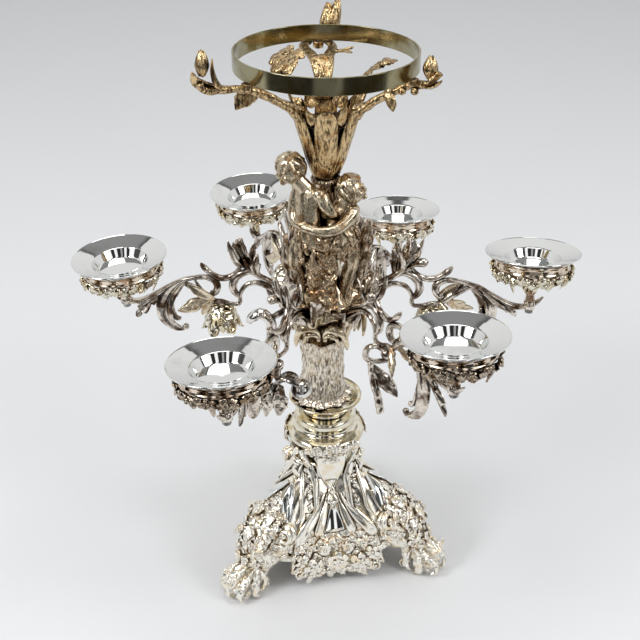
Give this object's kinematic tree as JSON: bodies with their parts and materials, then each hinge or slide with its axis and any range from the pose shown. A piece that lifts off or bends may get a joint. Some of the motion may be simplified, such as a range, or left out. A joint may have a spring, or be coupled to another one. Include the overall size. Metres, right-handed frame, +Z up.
{
  "type": "table centerpiece",
  "caption": "Footed silver-plated table centerpiece with a figural stem, scrolled foliate arms carrying lift-out dishes, and a top ring for a glass bowl.",
  "frame": {"origin": "on the floor under the stem's axis", "axes": "+Z up along the stem; -Y is the front in the picture, with +X to its right"},
  "size_m": [0.4818, 0.443, 0.5639],
  "materials": {
    "bright_silver": "polished cast silver plate, warm in the hollows",
    "mirror_silver": "mirror-polished spun silver plate",
    "cast_silver": "textured cast silver plate",
    "aged_silver": "tarnished cast silver plate with pinkish-brown tones",
    "golden_silver": "tarnished cast silver plate with golden-brown tones",
    "aged_nickel": "worn rolled nickel silver with solder marks",
    "steel": "plain machined steel"
  },
  "bodies": {
    "root": {"base_dome": "bright_silver", "base_collar": "bright_silver", "drip_plate": "bright_silver", "trunk_sleeve": "cast_silver", "trunk_core": "golden_silver", "branch_hub": "golden_silver", "tie_rod": "steel", "rod_washer": "steel", "foot_1": "bright_silver", "apron_1": "bright_silver", "neck_bracket_1": "bright_silver", "figure_1": "golden_silver", "foot_2": "bright_silver", "apron_2": "bright_silver", "neck_bracket_2": "bright_silver", "figure_2": "golden_silver", "foot_3": "bright_silver", "apron_3": "bright_silver", "neck_bracket_3": "bright_silver", "figure_3": "golden_silver", "arm_left": "aged_silver", "flower_left": "aged_silver", "arm_right": "aged_silver", "flower_right": "aged_silver", "arm_front_left": "aged_silver", "flower_front_left": "aged_silver", "arm_front_right": "aged_silver", "flower_front_right": "aged_silver", "arm_back_left": "aged_silver", "flower_back_left": "aged_silver", "arm_back_right": "aged_silver", "flower_back_right": "aged_silver"},
    "bowl_holder": {"bead_collar": "golden_silver", "calyx": "golden_silver", "branch_left": "aged_silver", "branch_right": "aged_silver", "branch_back": "aged_silver", "bowl_ring": "aged_nickel"},
    "nut": {"rod_nut": "steel"},
    "pan_left": {"pan_left": "aged_silver", "pan_screw_left": "steel"},
    "dish_left": {"dish_left": "mirror_silver"},
    "pan_right": {"pan_right": "aged_silver", "pan_screw_right": "steel"},
    "dish_right": {"dish_right": "mirror_silver"},
    "pan_front_left": {"pan_front_left": "aged_silver", "pan_screw_front_left": "steel"},
    "dish_front_left": {"dish_front_left": "mirror_silver"},
    "pan_front_right": {"pan_front_right": "aged_silver", "pan_screw_front_right": "steel"},
    "dish_front_right": {"dish_front_right": "mirror_silver"},
    "pan_back_left": {"pan_back_left": "aged_silver", "pan_screw_back_left": "steel"},
    "dish_back_left": {"dish_back_left": "mirror_silver"},
    "pan_back_right": {"pan_back_right": "aged_silver", "pan_screw_back_right": "steel"},
    "dish_back_right": {"dish_back_right": "mirror_silver"}
  },
  "joints": [
    {"name": "bowl_holder_turn", "type": "hinge", "parent": "root", "child": "bowl_holder", "pos_m": [0, 0, 0.4253], "axis": [0, 0, 1], "continuous": true},
    {"name": "nut_turn", "type": "hinge", "parent": "root", "child": "nut", "pos_m": [0, 0, 0.1139], "axis": [0, 0, 1], "continuous": true},
    {"name": "pan_left_turn", "type": "hinge", "parent": "root", "child": "pan_left", "pos_m": [-0.19341, 0.01522, 0.30039], "axis": [-0.0579, -0.0273, 0.9979], "continuous": true},
    {"name": "dish_left_lift", "type": "slide", "parent": "pan_left", "child": "dish_left", "axis": [-0.0579, -0.0273, 0.9979], "range_m": [0, 0.05]},
    {"name": "pan_right_turn", "type": "hinge", "parent": "root", "child": "pan_right", "pos_m": [0.19612, 0.00639, 0.29894], "axis": [0.002, 0.1466, 0.9892], "continuous": true},
    {"name": "dish_right_lift", "type": "slide", "parent": "pan_right", "child": "dish_right", "axis": [0.002, 0.1466, 0.9892], "range_m": [0, 0.05]},
    {"name": "pan_front_left_turn", "type": "hinge", "parent": "root", "child": "pan_front_left", "pos_m": [-0.08173, -0.18133, 0.30051], "axis": [-0.047, 0.084, 0.9954], "continuous": true},
    {"name": "dish_front_left_lift", "type": "slide", "parent": "pan_front_left", "child": "dish_front_left", "axis": [-0.047, 0.084, 0.9954], "range_m": [0, 0.05]},
    {"name": "pan_front_right_turn", "type": "hinge", "parent": "root", "child": "pan_front_right", "pos_m": [0.10455, -0.16279, 0.31463], "axis": [-0.0281, 0.0691, 0.9972], "continuous": true},
    {"name": "dish_front_right_lift", "type": "slide", "parent": "pan_front_right", "child": "dish_front_right", "axis": [-0.0281, 0.0691, 0.9972], "range_m": [0, 0.05]},
    {"name": "pan_back_left_turn", "type": "hinge", "parent": "root", "child": "pan_back_left", "pos_m": [-0.07721, 0.17855, 0.29549], "axis": [-0.0365, -0.0507, 0.998], "continuous": true},
    {"name": "dish_back_left_lift", "type": "slide", "parent": "pan_back_left", "child": "dish_back_left", "axis": [-0.0365, -0.0507, 0.998], "range_m": [0, 0.05]},
    {"name": "pan_back_right_turn", "type": "hinge", "parent": "root", "child": "pan_back_right", "pos_m": [0.07916, 0.164, 0.27819], "axis": [-0.0085, 0.0925, 0.9957], "continuous": true},
    {"name": "dish_back_right_lift", "type": "slide", "parent": "pan_back_right", "child": "dish_back_right", "axis": [-0.0085, 0.0925, 0.9957], "range_m": [0, 0.05]}
  ]
}
